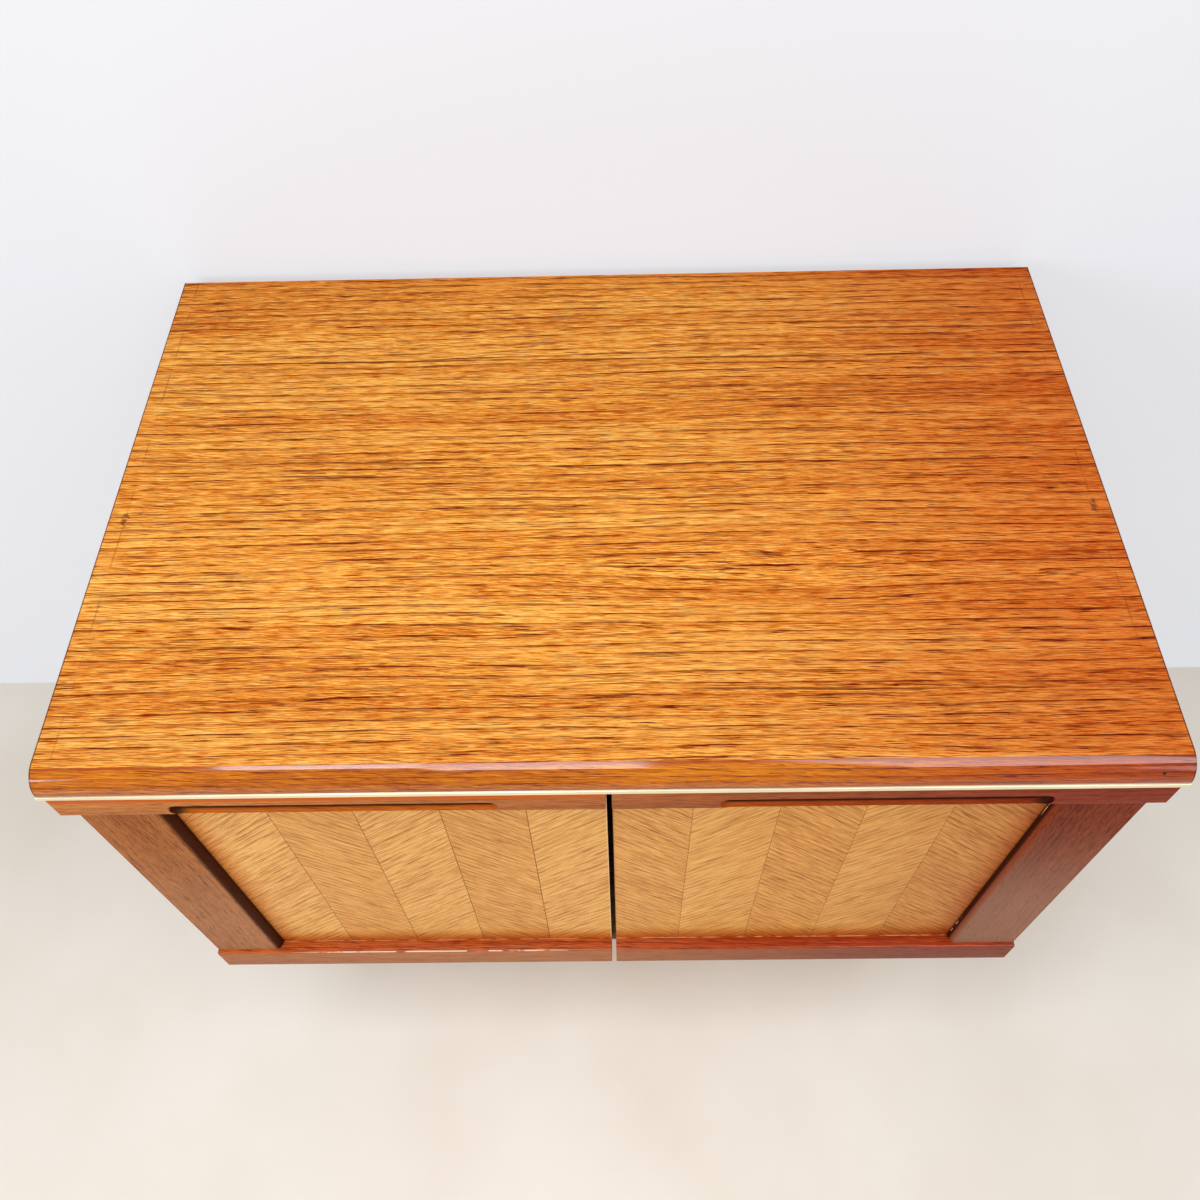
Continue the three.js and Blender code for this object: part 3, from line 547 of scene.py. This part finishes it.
def make_woods():
    teak_pores = tint(104, 22, 2)
    top = (tint(254, 203, 106), tint(238, 150, 50), tint(180, 77, 14))
    lipping = (tint(230, 152, 20), tint(204, 112, 4), tint(146, 64, 2))
    ledge = (tint(206, 106, 42), tint(178, 78, 28), tint(84, 26, 8))
    cove = (tint(206, 114, 32), tint(188, 94, 20), tint(142, 62, 12))
    chevron = (tint(246, 192, 116), tint(232, 172, 92), tint(202, 136, 64))
    chevron_dark = (tint(242, 184, 106), tint(226, 160, 80), tint(188, 120, 54))
    rail = (tint(216, 144, 80), tint(192, 118, 58), tint(148, 82, 34))
    lower_rail = (tint(190, 124, 78), tint(168, 102, 58), tint(134, 76, 42))
    stile = (tint(190, 122, 72), tint(164, 97, 51), tint(126, 70, 36))
    frame_pores = tint(80, 36, 18)
    outside = (tint(190, 112, 56), tint(166, 88, 38), tint(116, 56, 22))
    inside = (tint(210, 162, 108), tint(190, 140, 88), tint(156, 108, 64))
    leg = (tint(172, 98, 50), tint(144, 76, 36), tint(98, 46, 20))
    made = {
        "top": wood("teak_top", "X", top, teak_pores, 1, ring_share=1.0, sway=1.8, shiver=0.05, fibre=1.25,
                    streak=2.2, band_share=0.24, pore_share=0.95, pore_limit=0.63, fibre_spread=0.095,
                    specular=0.05, spindle=SPINDLE, shift=board_wear_and_shade),
        "lipping": wood("teak_lipping", "X", lipping, teak_pores, 2, rings=150, ring_share=0.7,
                        fibre_spread=0.1, band_share=0.4, pore_share=0.95, roughness=0.42, specular=0.02,
                        coat=0.85, coat_roughness=0.08, coat_ior=1.62, shift=lipping_tone_and_shade),
        # Up-facing ledges get this more orange copy of the frame wood: painted light from above.
        "ledge": wood("ledge_wood_painted_light", "X", ledge, teak_pores, 3, rings=160, ring_share=0.5, fibre=0.6,
                      coat=0.5, shift=ledge_light_and_lines),
        # Coves get this more orange copy of the frame wood: painted light on their upward faces, with
        # painted shade.
        "cove": wood("cove_wood_painted_light", "X", cove, teak_pores, 13, rings=160, ring_share=0.2, specular=0.05,
                     pore_share=0.3, shift=shade_cove),
        "side": wood("side_veneer", "Y", outside, teak_pores, 4),
        "side_upright": wood("upright_veneer", "Z", outside, teak_pores, 5),
        "inside": wood("inside_veneer", "Z", inside, tint(120, 76, 40), 6, ring_share=0.4, pore_share=0.3,
                       roughness=0.5),
        "board": wood("inside_board", "X", inside, tint(120, 76, 40), 7, ring_share=0.4, pore_share=0.3,
                      roughness=0.55),
        "leg": wood("leg_wood", "Z", leg, teak_pores, 8, rings=140, ring_share=0.6, coat=0.3),
        "rail": wood("rail_wood", "X", rail, frame_pores, 11, rings=170, ring_share=0.2, fibre=0.9,
                     fibre_spread=0.11, pore_share=0.55, glint_share=0.2, roughness=0.46, specular=0.05,
                     shift=rail_shade_and_light),
        "lower_rail": wood("lower_rail_wood", "X", lower_rail, frame_pores, 16, rings=170, ring_share=0.2,
                           fibre=0.8, pore_share=0.35, glint_share=0.2, roughness=0.46, specular=0.1,
                           shift=frame_tone_and_shade),
        "stile_left": wood("left_stile_wood", "Z", stile, frame_pores, 12, rings=170, ring_share=0.12,
                           fibre=0.9, streak=0.5, pore_limit=0.6, glint_share=0.3, roughness=0.5,
                           specular=0.02, shift=left_stile_shade),
        "stile_right": wood("right_stile_wood", "Z", stile, frame_pores, 14, rings=170, ring_share=0.12,
                            fibre=0.9, streak=0.5, pore_limit=0.6, glint_share=0.3, roughness=0.5,
                            specular=0.02, shift=right_stile_shade_and_highlights),
        "seam": wood("seam_glue", "Z", (tint(150, 90, 44), tint(128, 72, 34), tint(100, 52, 24)),
                     teak_pores, 15, roughness=0.6),
    }
    for name, tones, pores, seed in (("light", chevron, tint(160, 94, 46), 9),
                                     ("dark", chevron_dark, tint(138, 78, 38), 10)):
        made[f"chevron_{name}"] = wood(f"chevron_veneer_{name}", "UV", tones, pores, seed, rings=170,
                                       ring_share=0.5, sway=0.5, shiver=0.015, fibre=1.2, streak=3.6,
                                       band_share=0.15, fibre_spread=0.11, pore_share=0.9, pore_limit=0.61,
                                       glint_share=0.6, relief=0.03 * MM, roughness=0.44, specular=0.1,
                                       shift=panel_shade_and_light)
    return made


def metal(name, colour, roughness, stretch=(40, 40, 40), spread=0.12, dulled=0.72):
    """Metal with soft patches of duller and brighter polish."""
    graph = Graph(name)
    place = graph.coordinates.outputs["Object"]
    patches = graph.noise(place, stretch, detail=3)
    scuffs = graph.noise(place, tuple(8 * scale for scale in stretch), detail=2)
    gloss = graph.product(graph.total(patches, scuffs), spread)
    gloss = graph.total(gloss, roughness - spread)
    darker = tuple(dulled * channel for channel in colour[:3]) + (1,)
    toned = graph.mix(graph.fade(patches, 0.35, 0.65), darker, colour)
    graph.bump(scuffs, 0.002 * MM)
    return graph.finish(toned, gloss, Metallic=1.0)


def plastic(name, colour):
    graph = Graph(name)
    grain = graph.noise(graph.coordinates.outputs["Object"], (900, 900, 900), detail=2)
    paler = tuple(min(1.3 * channel, 1) for channel in colour[:3]) + (1,)
    graph.bump(grain, 0.03 * MM)
    return graph.finish(graph.mix(grain, colour, paler), 0.5)


# Meshes

def new_object(name, mesh):
    made = bpy.data.objects.new(name, mesh)
    bpy.context.scene.collection.objects.link(made)
    return made


def freed_mesh(shape, name):
    mesh = bpy.data.meshes.new(name)
    shape.to_mesh(mesh)
    shape.free()
    return mesh


def copied_mesh(node):
    """The node's solid with its flat faces joined again, as a mesh of its own."""
    shape = bmesh.new()
    shape.from_mesh(frame["nodes"][node].data)
    bmesh.ops.remove_doubles(shape, verts=shape.verts, dist=0.001 * MM)
    bmesh.ops.dissolve_limit(shape, angle_limit=math.radians(0.6), verts=shape.verts, edges=shape.edges)
    return freed_mesh(shape, node)


def round_edges(piece, width, steps=3, angle=32):
    bevel = piece.modifiers.new("arris", "BEVEL")
    bevel.width = width
    bevel.segments = steps
    bevel.limit_method = "ANGLE"
    bevel.angle_limit = math.radians(angle)
    bevel.harden_normals = True


def smooth(mesh, angle=40):
    mesh.shade_smooth()
    mesh.set_sharp_from_angle(angle=math.radians(angle))


def home_of(node):
    """The body that a CAD node rides on."""
    for body, members in frame["record"]["behaviour"]["bodies"].items():
        if node in members:
            return body
    raise ValueError(node)


def settle(piece, node, replace=True):
    """The piece rides with the node's body; when replace is set, the node is hidden and the piece stands for
    it.
    """
    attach(piece, home_of(node))
    if replace:
        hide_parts(node)


def dressed(node, material, arris=0.5 * MM):
    """The node's own shape with softened edges."""
    mesh = copied_mesh(node)
    smooth(mesh)
    mesh.materials.clear()
    mesh.materials.append(material)
    piece = new_object(f"{node}_finished", mesh)
    if arris:
        round_edges(piece, arris)
    settle(piece, node)
    return piece


def give_faces(piece, material, chosen):
    """Gives a second material to the faces that chosen accepts."""
    piece.data.materials.append(material)
    index = len(piece.data.materials) - 1
    for face in piece.data.polygons:
        if chosen(face):
            face.material_index = index


def extruded(name, outline, low_x, high_x):
    """Bar along X from a closed outline of (y, z) points."""
    shape = bmesh.new()
    ends = [[shape.verts.new((x, y, z)) for y, z in outline] for x in (low_x, high_x)]
    shape.faces.new(ends[0])
    shape.faces.new(list(reversed(ends[1])))
    for index in range(len(outline)):
        after = (index + 1) % len(outline)
        shape.faces.new((ends[0][index], ends[1][index], ends[1][after], ends[0][after]))
    bmesh.ops.recalc_face_normals(shape, faces=shape.faces)
    return freed_mesh(shape, name)


def arc(centre, radius, start, end, steps):
    """Points on an arc, with its angles in degrees."""
    turn = [math.radians(start + (end - start) * step / steps) for step in range(steps + 1)]
    return [(centre[0] + radius * math.cos(a), centre[1] + radius * math.sin(a)) for a in turn]


HEAD_STEPS = 24
SLOT_SHARE = 0.13
SLOT_FLOOR_SHARE = 0.35


def add_prism(shape, corners, low, high, matrix):
    """Upright prism over a closed outline of (x, y) points, placed by the matrix."""
    levels = [[shape.verts.new(matrix @ Vector((x, y, z))) for x, y in corners] for z in (low, high)]
    shape.faces.new(levels[0])
    shape.faces.new(levels[1])
    for index in range(len(corners)):
        after = (index + 1) % len(corners)
        shape.faces.new((levels[0][index], levels[0][after], levels[1][after], levels[1][index]))


def screw_heads(name, node, places, facing, radius, proud, material):
    """Slotted heads that stand proud of a face at the given places, each slot turned its own way."""
    shape = bmesh.new()
    chord = math.degrees(math.asin(SLOT_SHARE))
    for index, place in enumerate(places):
        tilt = Vector(facing).to_track_quat("Z", "Y").to_matrix().to_4x4()
        matrix = Matrix.Translation(place) @ tilt @ Matrix.Rotation(0.5 + 1.9 * index, 4, "Z")
        add_prism(shape, arc((0, 0), radius, 0, 360 - 360 / HEAD_STEPS, HEAD_STEPS - 1), -proud,
                  SLOT_FLOOR_SHARE * proud, matrix)
        for start in (0, 180):
            half = arc((0, 0), radius, start + chord, start + 180 - chord, HEAD_STEPS // 2)
            add_prism(shape, half, -proud, proud, matrix)
    bmesh.ops.recalc_face_normals(shape, faces=shape.faces)
    mesh = freed_mesh(shape, name)
    mesh.materials.append(material)
    piece = new_object(name, mesh)
    round_edges(piece, 0.25 * proud, steps=2)
    settle(piece, node, replace=False)


# Floor, wall, lamps and world

FLOOR_COLOUR = tint(248, 243, 234)
WALL_COLOUR = tint(234, 236, 241)
WALL_GLOW = 0.6
WALL_GAP = 0.012
STAGE_REACH = 6.0
WORLD_STRENGTH = 0.36
# Name, place, aim, width, depth and power in watts
LAMPS = (
    ("overhead_softbox", (-0.56, -0.52, 2.06), (-0.56, -0.243, 0.73), 0.4, 0.5, 5.5),
    ("middle_overhead_softbox", (-0.15, -0.68, 2.06), (-0.15, -0.243, 0.73), 0.42, 0.85, 7),
    ("right_overhead_softbox", (0.8, -0.8, 2.06), (0.6, -0.243, 0.73), 0.7, 1.1, 10),
    ("left_softbox", (-2.0, -1.8, 1.4), (0, 0, 0.55), 1.2, 1.2, 27),
    ("right_softbox", (1.9, -1.9, 1.4), (0, 0, 0.55), 1.2, 1.2, 9),
)


def floor_material():
    graph = Graph("pale_floor")
    clouds = graph.noise(graph.coordinates.outputs["Object"], (3, 3, 3), detail=4)
    colour = graph.mix(graph.fade(clouds, 0.3, 0.75), FLOOR_COLOUR, tint(238, 230, 218))
    return graph.finish(colour, 0.8)


def wall_material():
    """Seen from the front and in reflections only, so that other views and lamps pass through it."""
    graph = Graph("pale_wall")
    ray = graph.node("ShaderNodeLightPath")
    seen = graph.calculate("MAXIMUM", ray.outputs["Is Camera Ray"], ray.outputs["Is Glossy Ray"])
    geometry = graph.node("ShaderNodeNewGeometry")
    front = graph.rest(geometry.outputs["Backfacing"])
    graph.finish(WALL_COLOUR, 0.9)
    glow = graph.node("ShaderNodeEmission")
    graph.put(glow.inputs["Color"], WALL_COLOUR)
    even = graph.node("ShaderNodeMixShader")
    graph.put(even.inputs[0], WALL_GLOW)
    graph.put(even.inputs[1], graph.shader.outputs[0])
    graph.put(even.inputs[2], glow.outputs[0])
    clear = graph.node("ShaderNodeBsdfTransparent")
    mixed = graph.node("ShaderNodeMixShader")
    graph.put(mixed.inputs[0], graph.product(seen, front))
    graph.put(mixed.inputs[1], clear.outputs[0])
    graph.put(mixed.inputs[2], even.outputs[0])
    output = graph.tree.nodes["Material Output"]
    graph.put(output.inputs["Surface"], mixed.outputs[0])
    return graph.material


def plane(name, corners, material):
    mesh = bpy.data.meshes.new(name)
    mesh.from_pydata(corners, [], [range(len(corners))])
    mesh.materials.append(material)
    made = new_object(name, mesh)
    return made


def soft_lamp(name, place, aim, width, depth, power):
    data = bpy.data.lights.new(name, "AREA")
    data.shape = "RECTANGLE"
    data.size = width
    data.size_y = depth
    data.energy = power
    lamp = bpy.data.objects.new(name, data)
    facing = (Vector(aim) - Vector(place)).to_track_quat("-Z", "Y")
    lamp.matrix_world = Matrix.Translation(place) @ facing.to_matrix().to_4x4()
    bpy.context.scene.collection.objects.link(lamp)


def make_stage():
    reach = STAGE_REACH
    floor_corners = [(-reach, -reach, 0), (reach, -reach, 0), (reach, reach, 0), (-reach, reach, 0)]
    plane("floor", floor_corners, floor_material())
    wall_y = cad_bounds[1][1] + WALL_GAP
    wall_corners = [(-reach, wall_y, 0), (reach, wall_y, 0), (reach, wall_y, reach), (-reach, wall_y, reach)]
    plane("wall", wall_corners, wall_material())
    for lamp in LAMPS:
        soft_lamp(*lamp)
    world = bpy.data.worlds.new("studio")
    world.use_nodes = True
    world.node_tree.nodes["Background"].inputs["Color"].default_value = (1, 1, 1, 1)
    world.node_tree.nodes["Background"].inputs["Strength"].default_value = WORLD_STRENGTH
    bpy.context.scene.world = world
    bpy.context.scene.view_settings.view_transform = "Standard"


# Cabinet top

def make_top(woods):
    """The board's ends show the side veneer, and its back edge the wood of the lipping."""
    board = dressed("top_panel", woods["top"])
    give_faces(board, woods["side"], lambda face: abs(face.normal.x) > 0.5)
    give_faces(board, woods["lipping"], lambda face: face.normal.y > 0.5)
    make_lipping(woods)


NOSE_RADIUS = 17 * MM
NOSE_STEPS = 36
NOSE_LOWER_ARRIS = 0.2 * MM
FACE_VENEER = 0.6 * MM


def make_lipping(woods):
    """Rounded lipping; the face veneer runs over its back edge and is cut through by the rounding."""
    low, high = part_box("top_front_lipping")
    outline = [(high.y, low.z), (high.y, high.z)]
    outline += arc((low.y + NOSE_RADIUS, high.z - NOSE_RADIUS), NOSE_RADIUS, 90, 180, NOSE_STEPS)
    outline += arc((low.y + NOSE_LOWER_ARRIS, low.z + NOSE_LOWER_ARRIS), NOSE_LOWER_ARRIS, 180, 270, 4)
    mesh = extruded("lipping", outline, low.x, high.x)
    smooth(mesh, 30)
    mesh.materials.append(woods["lipping"])
    piece = new_object("top_front_lipping_finished", mesh)
    veneer_foot = high.z - FACE_VENEER
    give_faces(piece, woods["top"], lambda face: face.center.z > veneer_foot and abs(face.normal.x) < 0.5)
    settle(piece, "top_front_lipping")


TRIM_SHOULDER = 0.5 * MM
TRIM_ARRIS = 0.4 * MM


def make_trim(brass):
    """Flat bar with a rounded shoulder under the nose and a small lower arris."""
    low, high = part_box("brass_trim_strip")
    outline = [(high.y, high.z)]
    outline += arc((low.y + TRIM_SHOULDER, high.z - TRIM_SHOULDER), TRIM_SHOULDER, 90, 180, 8)
    outline += arc((low.y + TRIM_ARRIS, low.z + TRIM_ARRIS), TRIM_ARRIS, 180, 270, 5)
    outline += [(high.y, low.z)]
    mesh = extruded("trim", outline, low.x, high.x)
    smooth(mesh, 30)
    mesh.materials.append(brass)
    piece = new_object("brass_trim_strip_finished", mesh)
    settle(piece, "brass_trim_strip")


# Carcass

def make_carcass(woods):
    for side, sign in SIDES.items():
        node = f"side_panel_{side}"
        panel = dressed(node, woods["side_upright"])
        give_faces(panel, woods["inside"], lambda face, sign=sign: face.normal.x * sign < -0.5)
    dressed("bottom_panel", woods["board"])
    dressed("back_panel", woods["board"], arris=0.3 * MM)
    for index in (1, 2, 3, 4):
        dressed(f"record_divider_{index}", woods["inside"], arris=1.2 * MM)


# Doors

STRIPS = 5
FIRST_STRIP = 58.9 * MM
STRIP = 63.3 * MM
SEAMS = {"left": 0.42 * MM, "right": 0.24 * MM}
VENEER = 0.6 * MM
CHEVRON_ANGLE = math.radians(45)


def make_panel(side, sign, woods):
    """Board faced with five upright strips of veneer whose grain leans one way and then the other."""
    node = f"door_{side}_panel"
    low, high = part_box(node)
    board = box_mesh("board", Vector((low.x, low.y + VENEER, low.z)), high)
    backing = new_object(f"door_{side}_panel_board", board)
    backing.data.materials.append(woods["board"])
    give_faces(backing, woods["seam"], lambda face: face.normal.y < -0.5)
    settle(backing, node)
    for index in range(STRIPS):
        start = MEETING_EDGE + (FIRST_STRIP + (index - 1) * STRIP if index else 0)
        end = MEETING_EDGE + FIRST_STRIP + index * STRIP
        start += SEAMS[side] / 2 if index else 0
        end -= SEAMS[side] / 2
        if index == STRIPS - 1:
            end = max(abs(low.x), abs(high.x))
        left, right = sorted((sign * start, sign * end))
        near = Vector((left, low.y, low.z))
        far = Vector((right, low.y + VENEER, high.z))
        leans_out = (index % 2 == 0)
        slope = CHEVRON_ANGLE * (1 if leans_out == (side == "left") else -1)
        mesh = box_mesh("strip", near, far)
        lay_grain(mesh, slope, index + (0 if side == "left" else STRIPS))
        mesh.materials.append(woods["chevron_light" if slope > 0 else "chevron_dark"])
        piece = new_object(f"door_{side}_veneer_{index + 1}", mesh)
        round_edges(piece, 0.12 * MM, steps=1)
        settle(piece, node, replace=False)


def box_mesh(name, low, high):
    shape = bmesh.new()
    bmesh.ops.create_cube(shape, size=1)
    for corner in shape.verts:
        corner.co = Vector(l + (h - l) * (c + 0.5) for l, h, c in zip(low, high, corner.co))
    return freed_mesh(shape, name)


def lay_grain(mesh, slope, seed):
    """UV in metres, U along a grain that climbs at the slope across the front."""
    layer = mesh.uv_layers.new(name="grain")
    for loop in mesh.loops:
        corner = mesh.vertices[loop.vertex_index].co
        along = corner.x * math.cos(slope) + corner.z * math.sin(slope)
        across = corner.z * math.cos(slope) - corner.x * math.sin(slope)
        layer.data[loop.index].uv = (along + seed * 0.37, across + seed * 0.29)


def make_door(side, sign, woods):
    upper = dressed(f"door_{side}_top_rail", woods["rail"], arris=0)
    rail_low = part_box(f"door_{side}_top_rail")[0]
    # The cove's faces take the orange cove wood: painted light on faces turned up, painted shade in the
    # groove.
    give_faces(upper, woods["cove"], lambda face: is_cove(face, rail_low))
    lower = dressed(f"door_{side}_bottom_rail", woods["lower_rail"])
    # Up-facing faces take the orange ledge wood, as painted light from above.
    give_faces(lower, woods["ledge"], lambda face: face.normal.z > 0.5)
    dressed(f"door_{side}_stile", woods[f"stile_{side}"])
    make_panel(side, sign, woods)


def is_cove(face, low):
    """Faces of the finger cove lie behind the rail's front plane, in its lower half."""
    centre = face.center
    behind = low.y + 0.05 * MM < centre.y < low.y + 8 * MM
    level = low.z + 0.05 * MM < centre.z < low.z + 15 * MM
    return behind and level and abs(face.normal.x) < 0.99


# Legs and hardware keep their places from the frame

HINGE_SCREW_OFFSETS = (-18 * MM, 2 * MM, 18 * MM)
HINGE_SCREW_INSET = 6 * MM
LEAF_GAP = 0.4 * MM
PLATE_THICKNESS = 3 * MM
PLATE_SCREW_INSET = 8 * MM
CATCH_SCREW_INSET = 4 * MM
STRIKE_SCREW_INSET = 5 * MM
# Radius of each kind of head, and how far it stands proud
HINGE_SCREW = (2.8 * MM, 0.15 * MM)
PLATE_SCREW = (3.6 * MM, 0.8 * MM)
CATCH_SCREW = (2.6 * MM, 0.6 * MM)
STRIKE_SCREW = (2.4 * MM, 0.12 * MM)
PIN_HEAD = (1.2 * MM, 0.2 * MM)
# The nose pin's place along X, and the angle up from the front of the rounding
NOSE_PIN = (362 * MM, 57)


def leaf_screws(stem, sign, leaf, material):
    low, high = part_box(f"{stem}_{leaf}_leaf")
    facing = -1 if leaf == "fixed" else 1
    middle = (low + high) / 2
    inner = min(abs(low.x), abs(high.x)) + HINGE_SCREW_INSET
    level_y = middle.y - facing * LEAF_GAP / 2
    places = [Vector((sign * inner, level_y, middle.z + offset)) for offset in HINGE_SCREW_OFFSETS]
    node = f"{stem}_{leaf}_leaf"
    screw_heads(f"{stem}_{leaf}_screws", node, places, (0, facing, 0), *HINGE_SCREW, material)


def plate_screws(leg, material):
    low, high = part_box(f"leg_plate_{leg}")
    sides_x = (low.x + PLATE_SCREW_INSET, high.x - PLATE_SCREW_INSET)
    sides_y = (low.y + PLATE_SCREW_INSET, high.y - PLATE_SCREW_INSET)
    places = [Vector((x, y, high.z - PLATE_THICKNESS)) for x in sides_x for y in sides_y]
    screw_heads(f"leg_plate_{leg}_screws", f"leg_plate_{leg}", places, (0, 0, -1), *PLATE_SCREW, material)


def catch_screws(side, material):
    low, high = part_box(f"catch_{side}_housing")
    middle_y = (low.y + high.y) / 2
    ends = (low.x + CATCH_SCREW_INSET, high.x - CATCH_SCREW_INSET)
    places = [Vector((x, middle_y, low.z)) for x in ends]
    screw_heads(f"catch_{side}_screws", f"catch_{side}_housing", places, (0, 0, -1), *CATCH_SCREW, material)
    low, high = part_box(f"door_{side}_strike_plate")
    middle_z = (low.z + high.z) / 2
    ends = (low.x + STRIKE_SCREW_INSET, high.x - STRIKE_SCREW_INSET)
    places = [Vector((x, high.y, middle_z)) for x in ends]
    node = f"door_{side}_strike_plate"
    screw_heads(f"door_{side}_strike_screws", node, places, (0, 1, 0), *STRIKE_SCREW, material)


def nose_pin(material):
    """Small pin let into the rounding near its right end."""
    low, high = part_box("top_front_lipping")
    across, turn = NOSE_PIN
    (y, z), = arc((low.y + NOSE_RADIUS, high.z - NOSE_RADIUS), NOSE_RADIUS, 90 + turn, 90 + turn, 1)[:1]
    facing = (0, -math.sin(math.radians(turn)), math.cos(math.radians(turn)))
    place = Vector((across, y, z))
    screw_heads("top_front_lipping_pin", "top_front_lipping", [place], facing, *PIN_HEAD, material)


def make_hardware(metals, woods):
    nose_pin(metals["dark_steel"])
    for side, sign in SIDES.items():
        catch_screws(side, metals["steel"])
        dressed(f"door_{side}_strike_plate", metals["steel"], arris=0.2 * MM)
        dressed(f"catch_{side}_housing", metals["catch"], arris=0.8 * MM)
        dressed(f"catch_{side}_magnet", metals["steel"], arris=0.3 * MM)
        for level in LEVELS:
            stem = f"hinge_{side}_{level}"
            for leaf in ("fixed", "moving"):
                dressed(f"{stem}_{leaf}_leaf", metals["hinge"], arris=0.15 * MM)
                leaf_screws(stem, sign, leaf, metals["hinge"])
            dressed(f"{stem}_pin", metals["steel"], arris=0.2 * MM)
    for leg in LEG_NAMES:
        plate_screws(leg, metals["steel"])
        dressed(f"leg_{leg}", woods["leg"], arris=0.5 * MM)
        dressed(f"ferrule_{leg}", metals["hinge"], arris=0.2 * MM)
        dressed(f"leg_plate_{leg}", metals["steel"], arris=0.3 * MM)
        dressed(f"leg_bolt_{leg}", metals["steel"], arris=0.2 * MM)


# The whole scene

COVE_OUTER_INSET = 77 * MM
COVE_FRONT_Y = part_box("door_left_top_rail")[0].y
COVE_OUTER_END = -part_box("door_left_top_rail")[0].x - COVE_OUTER_INSET
MEETING_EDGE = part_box("door_right_panel")[0].x
STILE_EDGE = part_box("door_right_stile")[0].x
PANEL_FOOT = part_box("door_right_bottom_rail")[1].z
LEDGE_FRONT_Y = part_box("door_right_bottom_rail")[0].y
PANEL_FACE_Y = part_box("door_right_panel")[0].y
TOP_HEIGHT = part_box("top_panel")[1].z
RAIL_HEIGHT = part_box("door_left_top_rail")[1].z
RAIL_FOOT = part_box("door_left_top_rail")[0].z

make_camera()
make_stage()
woods = make_woods()
metals = {
    "brass": metal("polished_brass", tint(255, 246, 210), 0.34, stretch=(12, 40, 40), spread=0.06,
                   dulled=0.9),
    "hinge": metal("hinge_brass", tint(206, 170, 96), 0.34),
    "steel": metal("zinc_steel", tint(176, 178, 180), 0.38),
    "dark_steel": metal("dark_pin", tint(96, 62, 48), 0.4),
    "catch": plastic("catch_plastic", tint(62, 44, 34)),
}
make_top(woods)
make_trim(metals["brass"])
make_carcass(woods)
for side_name, side_sign in SIDES.items():
    make_door(side_name, side_sign, woods)
make_hardware(metals, woods)
